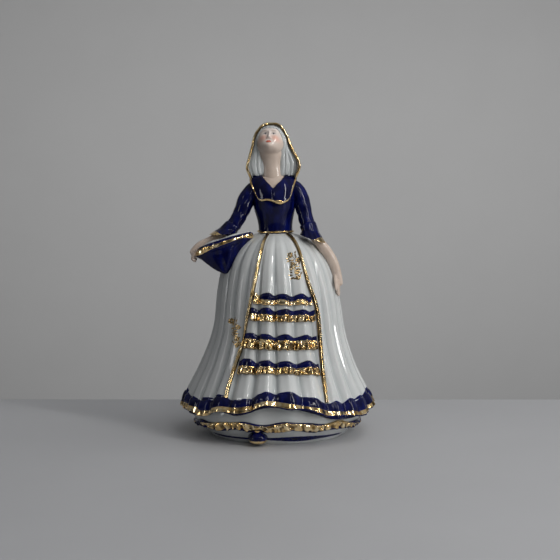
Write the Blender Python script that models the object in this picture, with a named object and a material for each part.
"""Porcelain lady in a crinoline: a slip-cast figurine, cobalt blue, white and gold.

Each separately cast or hand-rolled piece of clay is one closed object. The pieces stand as the
maker sets them together before firing: plugs in sockets, with a hair of slip (GAP) between them.
The lady faces -Y and stands on the table plane Z = 0. "Right" and "left" are her own sides, so
her right hand is at -X. Lengths are in millimetres up to the moment a mesh is made.
"""

import math

import bmesh
import bpy
import numpy as np
from mathutils import Matrix, Vector

MM = 0.001  # metres in a millimetre

# ---- Driving dimensions -------------------------------------------------------------------------
FIGURE_HEIGHT = 213.0  # table to the top of the hood
WAIST_HEIGHT = 138.2  # top edge of the skirt casting
HEM_HALF_WIDTH = 64.8  # half of the skirt's widest span, before its folds
FOOT_HALF_WIDTH = 47.5  # outer edge of the flat foot ring
WALL = 3.2  # thickness of the slip-cast shells
GAP = 0.3  # slip-filled joint between two castings

# ---- Skirt --------------------------------------------------------------------------------------
SKIRT_DEPTH = 0.9  # front-to-back size over side-to-side size
SKIRT_SIDE = (  # half width and height, waist to hem
    (11.0, WAIST_HEIGHT),
    (17.5, 136.2),
    (25.0, 132.0),
    (31.5, 125.3),
    (36.6, 116.5),
    (40.2, 105.5),
    (42.9, 94.0),
    (44.6, 82.0),
    (46.4, 70.0),
    (49.6, 58.0),
    (53.8, 46.0),
    (58.8, 35.0),
    (63.0, 25.5),
    (HEM_HALF_WIDTH, 18.0),
)
FLOUNCE_TOP = 0.928  # share of the way down the side where the hem flounce starts
FOLD_COUNT = 26
FOLD_DEPTH = 3.2  # ridge to valley at the hem
HEM_FRONT_LIFT = 8.5  # how far the hem rises at the front
WAIST_LEAN = -1.3  # the waist stands this far to her right of the hem's centre
FLANK_DRAW = (0.075, 80, 31)  # her right flank drawn in: share of the width, height, reach

# ---- Apron: between two gilt cords, with four ruffles across it ---------------------------------
CORD_RIGHT = ((0.0, -30), (0.12, -24), (0.3, -22), (0.55, -28), (0.75, -33), (1.0, -32))
CORD_LEFT = ((0.0, 42), (0.12, 33), (0.3, 31), (0.55, 37), (0.75, 37), (1.0, 31))
CORD_HALF_WIDTH = 1.2
RUFFLE_SPANS = ((100.5, 92.0), (89.0, 81.5), (72.0, 63.5), (54.5, 46.0))  # top, bottom height

# ---- Petticoat base -----------------------------------------------------------------------------
BASE_DEPTH = 0.9
BASE_SIDE = (  # half width and height, foot to the rim inside the skirt
    (FOOT_HALF_WIDTH, 0.0),
    (51.8, 4.6),
    (56.4, 9.5),
    (59.0, 14.5),
    (59.2, 20.0),
    (57.4, 26.0),
    (55.2, 31.5),
)
FOOT_RING_WIDTH = 4.0

# ---- Torso --------------------------------------------------------------------------------------
BODICE = (  # height, half width, front depth, back depth, centre x
    (138.6, 11.5, 10.1, 10.1, -1.3),
    (144.0, 11.8, 10.3, 9.8, -1.5),
    (150.0, 13.0, 11.4, 9.6, -1.8),
    (156.0, 14.4, 13.2, 9.7, -2.1),
    (162.0, 15.0, 13.2, 10.0, -2.4),
    (168.0, 15.2, 11.6, 10.0, -2.7),
    (173.0, 13.8, 9.4, 9.2, -2.9),
    (176.2, 11.0, 7.6, 7.6, -3.1),
    (178.0, 7.6, 6.2, 6.2, -3.2),
)
SPIGOT = (9.6, 8.6, 7.0)  # half width, half depth and length of the plug under the waist

# ---- Head, hair and hood ------------------------------------------------------------------------
HEAD_CENTRE = (-4.8, -1.2, 200.3)
HEAD_SIZE = (9.3, 9.3, 10.6)  # half width, half depth, half height
HEAD_TILT = 42  # degrees, chin up
HEAD_TURN = 6  # degrees, towards her right
NECK = (  # height, centre x, centre y, half width
    (171.0, -2.9, -1.5, 6.3),
    (177.0, -3.3, -1.0, 7.0),
    (182.0, -3.7, -0.6, 7.1),
    (188.0, -4.2, -0.7, 7.4),
    (194.0, -4.6, -0.9, 7.9),
)
NECKLINE_BOTTOM = 168.6  # point of the V
HOOD = (  # height, half width, depth behind the rim, centre x, rim y
    (170.5, 15.0, 12.0, -2.9, 1.5),
    (176.5, 15.6, 13.4, -2.9, -4.5),
    (182.0, 17.8, 15.0, -3.0, -6.5),
    (187.0, 17.4, 16.4, -2.7, -6.0),
    (192.0, 15.4, 17.2, -3.3, -4.6),
    (200.0, 12.5, 16.6, -4.2, -3.0),
    (206.0, 10.3, 14.6, -4.5, -2.4),
    (209.6, 7.8, 11.6, -4.4, -2.0),
    (211.9, 4.9, 7.6, -4.3, -1.4),
    (FIGURE_HEIGHT, 1.3, 2.2, -4.3, -0.6),
)
HOOD_WALL = 1.5

# ---- Arms: sleeve, cuff, then forearm and hand --------------------------------------------------
RIGHT_SLEEVE = (
    (-14.0, 0.5, 169.5),
    (-18.8, -0.5, 165.0),
    (-23.3, -2.2, 156.0),
    (-28.3, -4.0, 146.0),
    (-32.5, -5.0, 140.0),
)
LEFT_SLEEVE = (
    (9.5, 0.5, 170.0),
    (13.6, -0.5, 166.0),
    (17.2, -2.6, 157.0),
    (19.8, -5.6, 147.0),
    (22.4, -8.2, 139.5),
)
SLEEVE_RADII = (5.4, 5.8, 5.4, 4.9, 4.9)
RIGHT_CUFF = (  # centre, direction and radius where it leaves the sleeve, then at its mouth
    ((-29.6, -4.4, 144.2), (-0.50, -0.10, -0.85), 5.3),
    ((-37.2, -5.2, 137.8), (0.07, 0.00, -1.00), 8.8),
)
LEFT_CUFF = (
    ((20.5, -6.4, 144.6), (0.32, -0.32, -0.89), 5.4),
    ((24.0, -9.6, 134.6), (-0.30, 0.00, -0.95), 8.2),
)
CUFF_WALL = 0.9
RIGHT_FOREARM = (
    (-34.4, -5.0, 139.8),
    (-40.6, -5.0, 136.0),
    (-47.2, -5.0, 132.3),
    (-53.6, -5.6, 128.8),
    (-57.0, -6.8, 124.4),
)
LEFT_FOREARM = (
    (23.2, -8.6, 138.0),
    (30.4, -7.8, 129.8),
    (36.6, -7.4, 121.2),
    (40.2, -7.2, 112.2),
    (42.3, -7.0, 103.8),
)
FOREARM_RADII = ((2.9, 2.9), (3.0, 2.9), (2.7, 2.6), (2.5, 2.2), (2.9, 2.0))  # across, through
FINGER_RADIUS = 1.0

# ---- Lifted overskirt corner in her right hand --------------------------------------------------
CORNER_CENTRE = (-36.0, -8.5, 130.2)
CORNER_LONG = (18.2, 0.4, 5.6)  # centre to the end nearest the waist
CORNER_SHORT = (0.4, -10.0, 2.4)  # centre to the front of the rim
CORNER_TIP = (-34.6, -16.5, 111.6)
CORNER_BAND = 6.0  # height of the hem band round the rim

# ---- Slipper ------------------------------------------------------------------------------------
SLIPPER_CENTRE = (-12.9, -43.6, 5.2)
SLIPPER_SIZE = (6.2, 10.5, 4.8)

# ---- Mesh fineness ------------------------------------------------------------------------------
SKIRT_ROWS = (0.0, 0.05, 0.12, 0.2, 0.29, 0.39, 0.49, 0.59, 0.67, 0.75, 0.83, 0.88, FLOUNCE_TOP, 0.965, 1.0)
ROUND_COLUMNS = 24
LIMB_COLUMNS = 10

WHITE = ("white_glaze", (0.82, 0.84, 0.86), 0.10, 0.0)
BLUE = ("cobalt_glaze", (0.012, 0.016, 0.085), 0.08, 0.0)
GOLD = ("gilding", (0.80, 0.55, 0.20), 0.20, 1.0)
SKIN = ("flesh_glaze", (0.80, 0.69, 0.62), 0.15, 0.0)
HAIR = ("hair_glaze", (0.72, 0.74, 0.76), 0.15, 0.0)


# ---- Curves -------------------------------------------------------------------------------------
def spline(knots, values):
    """Natural cubic spline through the values at the knots, as a function of one number."""
    x, y = np.asarray(knots, float), np.asarray(values, float)
    n, h = len(x), np.diff(np.asarray(knots, float))
    system, right = np.eye(n), np.zeros(y.shape)
    for i in range(1, n - 1):
        system[i, i - 1 : i + 2] = h[i - 1], 2 * (h[i - 1] + h[i]), h[i]
        right[i] = 6 * ((y[i + 1] - y[i]) / h[i] - (y[i] - y[i - 1]) / h[i - 1])
    bend = np.linalg.solve(system, right)

    def at(t):
        i = min(max(int(np.searchsorted(x, t)) - 1, 0), n - 2)
        a, b = (x[i + 1] - t) / h[i], (t - x[i]) / h[i]
        curve = ((a**3 - a) * bend[i] + (b**3 - b) * bend[i + 1]) * h[i] ** 2 / 6
        return a * y[i] + b * y[i + 1] + curve

    return at


def curve_through(points):
    """Spline through points, with t from 0 to 1 along their chord length."""
    points = np.asarray(points, float)
    steps = np.linalg.norm(np.diff(points[:, :3], axis=0), axis=1)
    return spline(np.concatenate([[0], np.cumsum(steps)]) / steps.sum(), points)


def mix(a, b, share):
    return a + (b - a) * share


def ease(t):
    """0 below t = 0, 1 above t = 1, and smooth between."""
    t = min(max(t, 0.0), 1.0)
    return t * t * (3 - 2 * t)


def find(function, target, low=0.0, high=1.0):
    """Where a falling function of one number reaches the target."""
    for _ in range(40):
        middle = (low + high) / 2
        low, high = (middle, high) if function(middle) > target else (low, middle)
    return low


# ---- Meshes -------------------------------------------------------------------------------------
def material_of(name, colour, roughness, metallic):
    material = bpy.data.materials.get(name)
    if material is None:
        material = bpy.data.materials.new(name)
        material.use_nodes = True
        shader = material.node_tree.nodes["Principled BSDF"]
        shader.inputs["Base Color"].default_value = (*colour, 1.0)
        shader.inputs["Roughness"].default_value = roughness
        shader.inputs["Metallic"].default_value = metallic
        material.diffuse_color = (*colour, 1.0)
    return material


def add_object(name, bm, material=None):
    """Turns a bmesh into a smooth-shaded object. One with no material is a helper."""
    bmesh.ops.recalc_face_normals(bm, faces=bm.faces)
    mesh = bpy.data.meshes.new(name)
    bm.to_mesh(mesh)
    bm.free()
    mesh.shade_smooth()
    mesh.set_sharp_from_angle(angle=math.radians(50))
    obj = bpy.data.objects.new(name, mesh)
    bpy.context.scene.collection.objects.link(obj)
    if material:
        mesh.materials.append(material_of(*material))
    else:
        obj.hide_render = True
        obj.display_type = "WIRE"
    return obj


def loft(name, loops, material=None, closed=False):
    """Joins outlines one after the other. A closed loft runs on from the last to the first."""
    bm = bmesh.new()
    rows = [[bm.verts.new(Vector(p) * MM) for p in loop] for loop in loops]
    following = rows[1:] + rows[:1] if closed else rows[1:]
    for row, after in zip(rows, following):
        for i in range(len(row)):
            j = (i + 1) % len(row)
            bm.faces.new((row[i], row[j], after[j], after[i]))
    if not closed:
        bm.faces.new(rows[0])
        bm.faces.new(rows[-1])
    return add_object(name, bm, material)


def circle(columns=ROUND_COLUMNS):
    return [2 * math.pi * k / columns for k in range(columns)]


def strip(name, material, surface, section, stops, closed=False):
    """A strip lying on a surface. section(u) lists the (across, out) corners of its cut at u."""
    loops = [[surface(u, across, out) for across, out in section(u)] for u in stops]
    return loft(name, loops, material, closed)


def boolean(obj, other, operation):
    modifier = obj.modifiers.new(f"{operation.lower()} {other.name}", "BOOLEAN")
    modifier.object = other
    modifier.operation = operation
    modifier.solver = "EXACT"


def carve(obj, *cutters):
    for cutter in cutters:
        boolean(obj, cutter, "DIFFERENCE")


def sweep(name, path, radii, material=None, columns=LIMB_COLUMNS, stops=8, caps=(0.95, 0.95)):
    """A limb: ellipses strung along a path, rounded off at both ends by caps times the radius."""
    centre, flat = curve_through(path), (0, 1, 0)
    size = spline(np.linspace(0, 1, len(radii)), np.atleast_2d(np.array(radii, float).T).T)
    loops = []
    for k in range(-2, stops + 3):
        t = min(max(k / stops, 0.0), 1.0)
        past = abs(k / stops - t) * stops  # 0 along the limb, 1 and 2 over its rounded ends
        middle, along = Vector(centre(t)), Vector(centre(min(t + 0.01, 1)) - centre(max(t - 0.01, 0)))
        along.normalize()
        through = (Vector(flat) - along * along.dot(Vector(flat))).normalized()
        across = along.cross(through)
        r = np.resize(size(t), 2)
        shrink = (1.0, 0.78, 0.3)[round(past)]
        reach = (0, 0.62, 1.0)[round(past)] * caps[k > stops / 2] * r.min()
        middle += along * math.copysign(reach, k - stops / 2)
        loops.append(
            [
                middle + shrink * (across * r[0] * math.cos(a) + through * r[1] * math.sin(a))
                for a in circle(columns)
            ]
        )
    return loft(name, loops, material)


# ---- Surfaces that several pieces share ---------------------------------------------------------
skirt_side = curve_through(SKIRT_SIDE)
base_side = curve_through(BASE_SIDE)
bodice_side = spline([row[0] for row in BODICE], BODICE)
hood_side = spline([row[0] for row in HOOD], HOOD)
cord_right = spline(*zip(*CORD_RIGHT))
cord_left = spline(*zip(*CORD_LEFT))


def fold_drift(theta):
    """How far the folds stray from even spacing: wide at the front and back, narrow at the sides."""
    return math.pi - 1.6 * math.sin(2 * theta) + 0.3 * math.sin(5 * theta + 1.5)


def fold(theta):
    """Height of the folds round the skirt: rounded ridges with narrow valleys, about -0.5 to 0.5."""
    phase = FOLD_COUNT * theta + fold_drift(theta)
    return math.sqrt(math.cos(phase / 2) ** 2 + 0.03) - 0.62


def fold_angles():
    """Angles round the skirt that catch both shoulders of every ridge and every valley."""
    angles = []
    for k in range(FOLD_COUNT):
        for share in (-0.2, 0.2, 0.5):
            phase = 2 * math.pi * (k + share)
            theta = phase / FOLD_COUNT
            for _ in range(20):
                theta = (phase - fold_drift(theta)) / FOLD_COUNT
            angles.append(theta)
    return angles


def outward(side, t):
    """Unit normal of a side profile, away from the axis."""
    step = side(min(t + 0.005, 1.0)) - side(max(t - 0.005, 0.0))
    normal = Vector((-step[1], step[0])).normalized()
    return normal if normal.x > 0 or normal.y > 0 else -normal


def skirt_point(theta, t, out=0.0, folded=True):
    """Point of the skirt at an angle from the front, t down from the waist, out from the clay."""
    half_width, height = skirt_side(t)
    normal = outward(skirt_side, t)
    if folded:
        out += FOLD_DEPTH * fold(theta) * ease(t / 0.9) ** 0.8
    half_width += normal.x * out
    height += normal.y * out
    away = (theta + math.pi) % (2 * math.pi) - math.pi
    height += HEM_FRONT_LIFT * math.exp(-((away / 0.75) ** 2)) * ease((t - 0.72) / 0.28)
    share, middle, reach = FLANK_DRAW
    drawn = share * math.exp(-(((height - middle) / reach) ** 2)) * ease(-math.sin(theta))
    x = WAIST_LEAN * (1 - t) + half_width * math.sin(theta) * (1 - drawn)
    return Vector((x, -SKIRT_DEPTH * half_width * math.cos(theta), height))


def skirt_t(height):
    return find(lambda t: skirt_side(t)[1], height)


SKIRT_ANGLES = fold_angles()


def base_point(theta, t, out=0.0):
    half_width, height = base_side(t)
    step = base_side(min(t + 0.01, 1.0)) - base_side(max(t - 0.01, 0.0))
    normal = Vector((step[1], -step[0])).normalized()
    half_width += normal.x * out
    height += normal.y * out
    return Vector(
        (half_width * math.sin(theta), -BASE_DEPTH * half_width * math.cos(theta), height)
    )


def bodice_point(theta, height, out=0.0):
    def raw(angle, z):
        _, width, front, back, centre = bodice_side(z)
        depth = front if math.cos(angle) > 0 else back
        return Vector((centre + width * math.sin(angle), -depth * math.cos(angle), z))

    around = raw(theta + 0.01, height) - raw(theta - 0.01, height)
    low, high = max(height - 0.2, BODICE[0][0]), min(height + 0.2, BODICE[-1][0])
    up = raw(theta, high) - raw(theta, low)
    return raw(theta, height) + around.cross(up).normalized() * out


def ring(point, columns=ROUND_COLUMNS):
    return [point(a) for a in circle(columns)]


# ---- Solid stand-ins for whole regions, used to trim what rests against them --------------------
def skirt_block():
    rows = SKIRT_ROWS[:-2]
    return loft("skirt_block", [[skirt_point(a, t, GAP) for a in SKIRT_ANGLES] for t in rows])


def base_block():
    rows = (0.0, 0.15, 0.3, 0.45, 0.6, 0.8)
    return loft("base_block", [ring(lambda a, t=t: base_point(a, t, GAP), 48) for t in rows])


def bodice_block(out):
    heights = (138.6, 142, 146, 150, 154, 158, 162, 166, 170, 173, 175.2, 176.8, 178)
    loops = [ring(lambda a, z=z: bodice_point(a, z, out)) for z in heights]
    return loft("bodice_block", loops)


# ---- Skirt and base -----------------------------------------------------------------------------
def make_skirt():
    """Hollow bell, open at the hem and with a waist hole that takes the bodice's plug."""

    def section(theta):
        outside = [(t, 0.0) for t in SKIRT_ROWS]
        return outside + [(t, -WALL) for t in (1.0, 0.8, 0.5, 0.2, 0.0)]

    def surface(theta, t, out):
        return skirt_point(theta, t, out, folded=out == 0.0)

    return strip("skirt", WHITE, surface, section, SKIRT_ANGLES, closed=True)


def make_hem_flounce():
    """Frill round the hem, standing proud of the skirt and flaring at its lower edge."""

    def section(theta):
        droop = 0.012 * math.sin(7 * theta + 0.5)
        top = FLOUNCE_TOP
        outside = [(top, GAP), (top, 0.9), (0.96, 1.5), (1.0 + droop, 2.4), (1.0 + droop, GAP)]
        return outside + [(0.965, GAP)]

    def surface(theta, t, out):
        point = skirt_point(theta, min(t, 1.0), out)
        return point - Vector((0, 0, 60 * max(t - 1.0, 0.0)))

    return strip("hem_flounce", BLUE, surface, section, SKIRT_ANGLES, closed=True)


def make_apron_ruffle(index, top, bottom):
    """One gathered frill across the apron, from cord to cord."""
    low, high = skirt_t(bottom), skirt_t(top)
    middle, margin = (low + high) / 2, 3.4
    first = math.radians(cord_right(middle) + margin)
    last = math.radians(cord_left(middle) - margin)
    turns = [a + turn for turn in (-2 * math.pi, 0) for a in SKIRT_ANGLES]
    between = [a for a in sorted(turns) if first + 0.01 < a < last - 0.01]

    def surface(theta, across, out):
        return skirt_point(theta, mix(high, low, across) - 0.006 * fold(theta), out)

    def section(theta):
        under = 1.5 * GAP
        outside = [(0.0, under), (0.0, 0.9), (0.35, 1.6), (0.75, 2.0), (1.0, 1.7), (1.0, under)]
        return outside + [(0.5, under)]

    name = f"apron_ruffle_{index}"
    return strip(name, GOLD, surface, section, [first, *between, last])


def make_apron_cord(name, angle):
    """Flat gilt cord from the waist to the flounce."""

    def surface(t, across, out):
        point = skirt_point(math.radians(angle(t)), t, out)
        side = skirt_point(math.radians(angle(t)) + 0.01, t, out) - point
        return point + side.normalized() * across

    def section(t):
        half = CORD_HALF_WIDTH
        top = [(-half * 0.7, 1.8), (0.0, 2.0), (half * 0.7, 1.8)]
        return [(-half, 3.6 * GAP), *top, (half, 3.6 * GAP)]

    stops = [mix(0.03, FLOUNCE_TOP - 0.01, k / 32) for k in range(33)]
    return strip(name, GOLD, surface, section, stops)


def make_base():
    """Petticoat casting: an open ring on a flat foot, its rim tucked inside the skirt."""
    outside = [(t, 0.0) for t in (0, 0.15, 0.3, 0.45, 0.6, 0.8, 1.0)]
    inside = [(t, -WALL) for t in (1.0, 0.8, 0.6, 0.4, 0.2)]

    def surface(theta, t, out):
        if t < 0:  # the inner edge of the foot ring
            inner = FOOT_HALF_WIDTH - FOOT_RING_WIDTH
            return Vector((inner * math.sin(theta), -BASE_DEPTH * inner * math.cos(theta), 0))
        return base_point(theta, t, out)

    def section(theta):
        return [*outside, *inside, (-1, 0)]

    return strip("petticoat_base", WHITE, surface, section, circle(48), closed=True)


def make_petticoat_ruffle():
    """Gathered frill round the petticoat, riding high at the front and low at the sides."""

    def section(theta):
        front = (1 + math.cos(theta)) / 2
        middle = mix(0.22, 0.475, front**1.5) + 0.012 * math.sin(9 * theta)
        half = mix(0.045, 0.095, front)
        return [
            (middle + half, GAP),
            (middle + half * 0.6, 1.2),
            (middle, 1.7),
            (middle - half * 0.7, 1.2),
            (middle - half, GAP),
            (middle, GAP),
        ]

    return strip("petticoat_ruffle", GOLD, base_point, section, circle(48), closed=True)


def make_slipper():
    """Toe of a slipper, peeping from the front of the petticoat."""
    bm = bmesh.new()
    bmesh.ops.create_uvsphere(bm, u_segments=16, v_segments=10, radius=MM)
    bmesh.ops.scale(bm, vec=SLIPPER_SIZE, verts=bm.verts)
    bmesh.ops.translate(bm, vec=Vector(SLIPPER_CENTRE) * MM, verts=bm.verts)
    slipper = add_object("slipper", bm, BLUE)
    carve(slipper, base_block())
    return slipper


# ---- Torso --------------------------------------------------------------------------------------
def make_bodice():
    """Hollow torso: its core is open at the plug, which drops into the skirt's waist hole."""
    plug_width, plug_depth, plug_length = SPIGOT
    bottom = BODICE[0][0]

    def flat_ring(width, depth, height):
        return ring(
            lambda a: Vector((WAIST_LEAN + width * math.sin(a), -depth * math.cos(a), height))
        )

    def cored(height, shrink):
        centre = Vector((bodice_side(height)[4], 0, height))
        return ring(lambda a: centre + (bodice_point(a, height) - centre) * shrink)

    core = [cored(height, shrink) for height, shrink in ((163, 0.25), (160, 0.6), (150, 0.7))]
    plug = [
        flat_ring(plug_width - WALL, plug_depth - WALL, bottom),
        flat_ring(plug_width - WALL, plug_depth - WALL, bottom - plug_length),
        flat_ring(plug_width, plug_depth, bottom - plug_length),
        flat_ring(plug_width, plug_depth, bottom),
    ]
    heights = (138.6, 142, 146, 150, 154, 158, 162, 166, 170, 173, 175.2, 176.8, 178)
    body = [ring(lambda a, z=z: bodice_point(a, z)) for z in heights]
    bodice = loft("bodice", core + plug + body, BLUE)
    carve(bodice, make_neck(GAP), make_chest(GAP))
    return bodice


def make_waistband():
    """Gilt bead round the waist, hiding the joint between bodice and skirt."""

    def surface(theta, across, out):
        width, depth = BODICE[0][1] + out, BODICE[0][2] + out
        height = WAIST_HEIGHT + 1.1 + across
        return Vector((WAIST_LEAN + width * math.sin(theta), -depth * math.cos(theta), height))

    def section(theta):
        return [(0.55, 0.45), (0.35, 0.95), (-0.35, 0.95), (-0.55, 0.45)]

    return strip("waistband", GOLD, surface, section, circle(), closed=True)


def collar_edges(theta):
    """Heights of the collar's lower and upper edge round the shoulders."""
    away = abs((theta + math.pi) % (2 * math.pi) - math.pi)  # 0 at the front, pi at the back
    lobe = 1.4 * math.sin(2.0 * away) if away < math.pi / 2 else 0
    lower = mix(159.4, 172.2, ease((away - 0.75) / 0.75)) - lobe
    lower = mix(lower, 162.5, ease((away - 1.75) / 0.6))
    upper = mix(NECKLINE_BOTTOM, 177.2, ease(away / 0.8))
    return lower, upper


def make_collar(grow=0.0):
    """Deep shawl collar round the shoulders, with a V neck. A grown one is a clearance."""

    def surface(theta, across, out):
        lower, upper = collar_edges(theta)
        return bodice_point(theta, mix(lower - grow, upper + grow, across), out)

    def section(theta):
        thickness = ((0.0, 1.1), (0.15, 1.6), (0.35, 1.7), (0.55, 1.7), (0.75, 1.6), (0.9, 1.4), (1.0, 1.1))
        outside = [(across, out + 1.3 * grow) for across, out in thickness]
        under = -2.0 if grow else 1.5 * GAP
        return outside + [(across, under) for across in (1.0, 0.84, 0.68, 0.5, 0.33, 0.16, 0.0)]

    if grow:
        return strip("collar_clearance", None, surface, section, circle(32), closed=True)
    return strip("collar", BLUE, surface, section, circle(32), closed=True)


# ---- Head, hair and hood ------------------------------------------------------------------------
def head_matrix():
    turn = Matrix.Rotation(math.radians(-HEAD_TURN), 4, "Z")
    tilt = Matrix.Rotation(math.radians(-HEAD_TILT), 4, "X")
    return Matrix.Translation(Vector(HEAD_CENTRE) * MM) @ turn @ tilt


def ellipsoid(name, size, centre=(0, 0, 0), grow=0.0, material=None, columns=18):
    """Ellipsoid in the head's own tilted frame."""
    bm = bmesh.new()
    bmesh.ops.create_uvsphere(bm, u_segments=columns, v_segments=12, radius=MM)
    bmesh.ops.scale(bm, vec=[half + grow for half in size], verts=bm.verts)
    bmesh.ops.translate(bm, vec=Vector(centre) * MM, verts=bm.verts)
    bmesh.ops.transform(bm, matrix=head_matrix(), verts=bm.verts)
    return add_object(name, bm, material)


def make_neck(grow=0.0, name="neck_clearance", material=None):
    neck = spline([row[0] for row in NECK], NECK)

    def neck_ring(height):
        _, centre_x, centre_y, radius = neck(height)
        radius += grow
        return ring(
            lambda a: Vector(
                (centre_x + radius * math.sin(a), centre_y - radius * math.cos(a), height)
            ),
            20,
        )

    heights = (171 - grow, 174, 177, 180, 184, 188, 191, 194 + grow)
    return loft(name, [neck_ring(height) for height in heights], material)


def make_chest(grow=0.0):
    """V of bare skin above the bodice, set into it."""
    loops = []
    for height in (NECKLINE_BOTTOM - 0.8 - grow, 170, 172, 174, 175.6, 176.8 + 3.5 * grow):
        spread = 4 + 5.6 * (height - 168) + 25 * grow
        angles = [math.radians(spread * share) for share in (-1, -0.5, 0, 0.5, 1)]
        front = [bodice_point(a, height, 4 * grow - 0.1) for a in angles]
        back = [bodice_point(a, height, -4.0 - 4 * grow) for a in reversed(angles)]
        loops.append(front + back)
    return loft("chest_clearance" if grow else "chest", loops)


def head_features(grow=0.0):
    """Skull, jaw and nose, apart from the neck."""
    return (
        ellipsoid("skull", HEAD_SIZE, grow=grow),
        ellipsoid("jaw", (5.6, 5.2, 5.4), (0, -4.0, -6.0), grow, columns=16),
        ellipsoid("nose", (1.2, 1.6, 2.2), (0, -8.8, -1.6), grow, columns=10),
    )


def make_head():
    """Head, neck and the V of bare chest in one casting. Its plug sits down in the bodice."""
    head = make_neck(0.0, "head", SKIN)
    boolean(head, make_chest(), "UNION")
    for feature in head_features():
        boolean(head, feature, "UNION")
    return head


def make_hair():
    """Dressed hair: a cap a little behind the face, and a long fall down each side of the neck."""
    width, depth, height = HEAD_SIZE
    size = (width + 0.4, depth, height + 0.3)
    hair = ellipsoid("hair", size, (0, 1.5, 0.6), material=HAIR)
    falls = {
        "right_fall": ((-11.4, 1.0, 200), (-12.6, 0.0, 192), (-13.3, -1.0, 184), (-11.8, -2.0, 177)),
        "left_fall": ((1.8, 1.0, 200), (5.4, 0.0, 192), (7.6, -1.0, 184), (6.2, -2.0, 177)),
    }
    for name, path in falls.items():
        boolean(hair, sweep(name, path, (2.0, 2.7, 3.3, 3.2), None, 9, 6), "UNION")
    carve(hair, make_neck(GAP), make_chest(GAP), *head_features(GAP))
    carve(hair, bodice_block(2 * GAP), make_collar(GAP))
    return hair


def hood_point(phi, height, out=0.0):
    """Point of the hood: phi runs from her left rim (0) round the back to her right rim (pi)."""
    _, width, depth, centre, rim = hood_side(height)
    return Vector(
        (centre + (width + out) * math.cos(phi), rim + (depth + out) * math.sin(phi), height)
    )


def make_hood():
    """Veil: U-shaped cuts, stacked from the shoulders and closing over the crown."""
    angles = [math.pi * k / 14 for k in range(15)]
    heights = (175.2, 178, 182, 186, 190, 194, 198, 202, 205.5, 208.3, 210.4, 211.8)

    def cut(height):
        outer = [hood_point(a, height) for a in angles]
        return outer + [hood_point(a, height, -HOOD_WALL) for a in reversed(angles)]

    hood = loft("hood", [cut(height) for height in heights], WHITE)
    crown = [[hood_point(a, z) for a in angles] for z in (211.6, FIGURE_HEIGHT - 0.15)]
    boolean(hood, loft("hood_crown", crown), "UNION")
    carve(hood, bodice_block(2 * GAP), make_collar(GAP))
    return hood


def make_hood_rim():
    """Gilt roll along the front edge of the veil."""
    levels = (175.5, 179, 183, 188, 194, 200, 206, 209.6, 211.9)
    right = [hood_point(math.pi, z) for z in levels]
    left = [hood_point(0, z) for z in reversed(levels)]
    top = Vector((HOOD[-1][3], HOOD[-1][4], FIGURE_HEIGHT - 0.4))
    path = [p + Vector((0, -1.45, 0)) for p in [*right, top, *left]]
    rim = sweep("hood_rim", path, (0.8, 0.8, 0.8), GOLD, columns=6, stops=30)
    carve(rim, make_collar(GAP))
    return rim


# ---- Arms ---------------------------------------------------------------------------------------
def grown(radii, grow):
    return tuple(np.add(radii, grow).tolist())


def make_sleeve(name, path, forearm):
    sleeve = sweep(name, path, SLEEVE_RADII, BLUE, 12, 9, (0.9, 0.3))
    socket = sweep(f"{name}_socket", forearm, grown(FOREARM_RADII, GAP))
    carve(sleeve, bodice_block(GAP), make_collar(GAP), socket)
    return sleeve


def make_cuff(name, ends, sleeve, forearm, cutters):
    """Bell-shaped cuff, slipped over the end of the sleeve."""
    frames = []
    for centre, axis, radius in ends:
        along = Vector(axis).normalized()
        through = (Vector((0, 1, 0)) - along * along.y).normalized()
        frames.append((Vector(centre), along.cross(through), through, radius))

    def surface(angle, s, out):
        points = [
            c + (across * math.cos(angle) + through * math.sin(angle)) * (radius + out)
            for c, across, through, radius in frames
        ]
        return points[0].lerp(points[1], s)

    def section(angle):
        flute = 0.2 * math.sin(5 * angle)
        outside = [(0.0, 0.4), (0.12, CUFF_WALL), (0.5, CUFF_WALL - 0.7), (1.0, CUFF_WALL + flute)]
        return outside + [(1.0, flute), (0.5, -0.7), (0.0, 0.0)]

    cuff = strip(name, BLUE, surface, section, circle(24), closed=True)
    bore = sweep(f"{name}_bore", sleeve, grown(SLEEVE_RADII, GAP), None, 12, 9, (0.9, 0.3))
    arm = sweep(f"{name}_arm", forearm, grown(FOREARM_RADII, GAP))
    carve(cuff, bore, arm, *cutters)
    return cuff


def hand_parts(name, forearm, lines, grow=0.0):
    """Forearm first, then the fingers and thumb."""
    parts = [sweep(name, forearm, grown(FOREARM_RADII, grow))]
    for index, line in enumerate(lines):
        radii = (FINGER_RADIUS + grow,) * 3
        parts.append(sweep(f"{name}_finger_{index}", line, radii, columns=6, stops=4))
    return parts


def make_arm(name, forearm, lines, cutters):
    """Bare forearm and hand in one casting. Its upper end plugs into the sleeve."""
    arm = sweep(name, forearm, FOREARM_RADII, SKIN)
    for finger in hand_parts(f"{name}_part", forearm, lines)[1:]:
        boolean(arm, finger, "UNION")
    carve(arm, *cutters)
    return arm


def right_fingers():
    """Fingers of the raised hand, closing over the end of the lifted corner."""
    knuckles = Vector((-57.6, -5.6, 123.6))
    lines = []
    for k in range(4):
        start = knuckles + Vector((0.1 * k, 1.7 * k - 2.6, 0.3 * k))
        bend = start + Vector((-0.6, -0.3, -2.8))
        lines.append([start, bend, bend + Vector((1.4, -0.4, -2.0))])
    thumb = knuckles + Vector((1.6, -2.6, 2.6))
    lines.append([thumb, thumb + Vector((1.4, -1.8, 0.6)), thumb + Vector((3.2, -2.8, 0.4))])
    return lines


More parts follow.
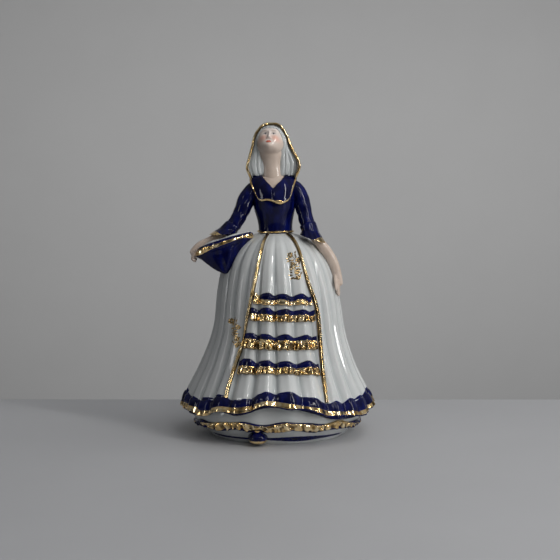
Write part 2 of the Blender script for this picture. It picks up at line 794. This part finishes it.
def left_fingers():
    """Fingers of the lowered hand, lying along the skirt."""
    lines = []
    for k, length in enumerate((10.0, 11.4, 11.6, 9.2)):
        theta = math.radians(74.8 + 2.5 * k)
        rows = [skirt_t(104.0), skirt_t(104.0 - length / 2), skirt_t(104.0 - length)]
        lines.append([skirt_point(theta, t, 2.0, folded=False) for t in rows])
    rows = ((77.0, 109.5, 2.4), (71.6, 104.5, 2.3), (69.4, 100.0, 1.9))
    lines.append(
        [skirt_point(math.radians(a), skirt_t(z), out, folded=False) for a, z, out in rows]
    )
    return lines


# ---- Lifted corner of the overskirt -------------------------------------------------------------
def corner_ring(level):
    """Outline of the lifted corner. Level 0 is its tip, 1 its rim, and 2 the middle of its top."""
    centre, tip = Vector(CORNER_CENTRE), Vector(CORNER_TIP)
    long, short, rise = Vector(CORNER_LONG), Vector(CORNER_SHORT), Vector((0, 0, 1))
    below = level <= 1
    if below:
        size = mix(0.12, 1.0, level**0.7)
        middle = tip.lerp(centre - rise * CORNER_BAND / 2, level)
    else:
        size = math.sqrt(max(1 - (level - 1) ** 2, 0.0))
        middle = centre + rise * (CORNER_BAND / 2 + GAP + 1.6 * (level - 1))
    return ring(lambda a: middle + (long * math.cos(a) + short * math.sin(a)) * size)


def make_corner(cutters):
    """Lifted corner: blue lining below, hem band round the rim, white cloth on top."""
    levels = (0, 0.15, 0.3, 0.5, 0.7, 0.85, 1.0)
    lining = loft("overskirt_lining", [corner_ring(level) for level in levels], BLUE)
    low, rise, middle = corner_ring(1.0), Vector((0, 0, 1)), Vector(CORNER_CENTRE)
    loops = []
    for up, out in ((GAP, 0.0), (1.0, 0.9), (3.0, 1.3), (5.0, 0.9), (CORNER_BAND, 0.1)):
        loops.append([p + rise * up + (p - middle).normalized() * out for p in low])
    hem = loft("overskirt_hem", loops, GOLD)
    levels = (1.0001, 1.3, 1.6, 1.8, 1.95)
    top = loft("overskirt_top", [corner_ring(level) for level in levels], WHITE)
    for piece in (lining, hem, top):
        carve(piece, *cutters)
    return lining, hem, top


def build():
    for obj in list(bpy.data.objects):
        bpy.data.objects.remove(obj)

    make_base()
    make_petticoat_ruffle()
    make_slipper()
    make_skirt()
    make_hem_flounce()
    for index, (top, bottom) in enumerate(RUFFLE_SPANS, 1):
        make_apron_ruffle(index, top, bottom)
    make_apron_cord("apron_cord_right", cord_right)
    make_apron_cord("apron_cord_left", cord_left)

    make_bodice()
    make_waistband()
    make_collar()
    make_head()
    make_hair()
    make_hood()
    make_hood_rim()

    skirt = skirt_block()
    make_sleeve("right_sleeve", RIGHT_SLEEVE, RIGHT_FOREARM)
    make_sleeve("left_sleeve", LEFT_SLEEVE, LEFT_FOREARM)
    make_cuff("right_cuff", RIGHT_CUFF, RIGHT_SLEEVE, RIGHT_FOREARM, ())
    make_cuff("left_cuff", LEFT_CUFF, LEFT_SLEEVE, LEFT_FOREARM, (skirt,))
    make_arm("right_arm", RIGHT_FOREARM, right_fingers(), ())
    make_arm("left_arm", LEFT_FOREARM, left_fingers(), (skirt,))
    hand = hand_parts("right_hand_clearance", RIGHT_FOREARM, right_fingers(), GAP)
    make_corner((skirt, *hand))


build()
